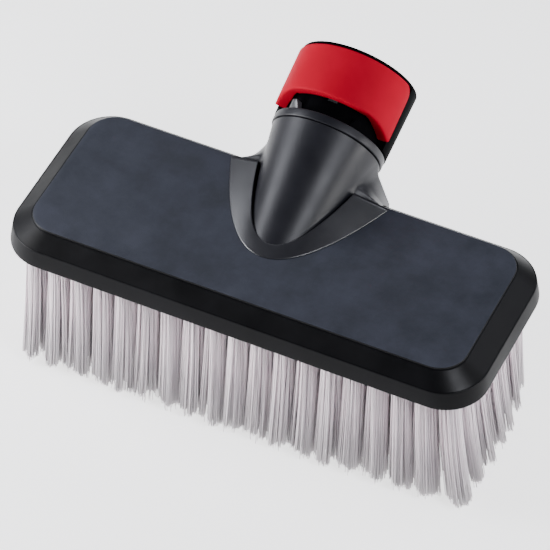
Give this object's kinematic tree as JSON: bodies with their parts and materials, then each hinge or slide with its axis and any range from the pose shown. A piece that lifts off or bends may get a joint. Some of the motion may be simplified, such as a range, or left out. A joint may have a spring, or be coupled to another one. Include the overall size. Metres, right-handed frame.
{
  "type": "flow-through wash brush head",
  "caption": "Rectangular flow-through wash brush head with soft tufted bristles, an angled tapered neck and a slide-release socket for a lance.",
  "frame": {"origin": "middle of the head on the plane of the bristle tips, the working face that the brush stands on", "axes": "+X along the head, +Y towards the side that the neck and lance leave, +Z from the bristle tips up to the cover"},
  "size_m": [0.2022, 0.1287, 0.1145],
  "materials": {
    "cover": "matt moulded, fine grain, blue-black",
    "neck": "satin moulded black",
    "coupling": "satin moulded black",
    "release": "semi-gloss red",
    "block": "plain moulded light grey",
    "bristle": "translucent light grey filament, slightly pink",
    "seal": "black rubber",
    "tube": "grey moulded",
    "steel": "zinc plated",
    "brass": "turned"
  },
  "bodies": {
    "head": {"top_cover": "cover", "cover_gasket": "seal", "bristle_block": "block", "neck": "neck", "inlet_elbow": "tube", "inlet_o_ring": "seal", "retaining_ring": "neck", "coupling_housing": "coupling", "lance_seal_inner": "seal", "lance_seal_outer": "seal", "seal_spacer": "tube", "bristle_row_1": "bristle", "bristle_row_2": "bristle", "bristle_row_3": "bristle", "bristle_row_4": "bristle", "bristle_row_5": "bristle", "bristle_row_6": "bristle", "bristle_row_7": "bristle", "water_jet_1": "brass", "water_jet_2": "brass", "water_jet_3": "brass", "water_jet_4": "brass", "block_screw_1": "steel", "block_screw_2": "steel", "block_screw_3": "steel", "block_screw_4": "steel", "block_screw_5": "steel", "block_screw_6": "steel", "block_screw_7": "steel", "block_screw_8": "steel", "neck_screw_left": "steel", "neck_screw_right": "steel", "neck_screw_front": "steel", "coupling_pin_left": "steel", "release_spring_left": "steel", "coupling_pin_right": "steel", "release_spring_right": "steel"},
    "release": {"release_slide": "release", "locking_tongue": "steel"}
  },
  "joints": [
    {"name": "release_travel", "type": "slide", "parent": "head", "child": "release", "axis": [0, -0.9337, -0.358], "range_m": [0, 0.003], "stiffness_N_per_m": 600, "springref_m": -0.002, "deforming": ["release_spring_left", "release_spring_right"]}
  ]
}
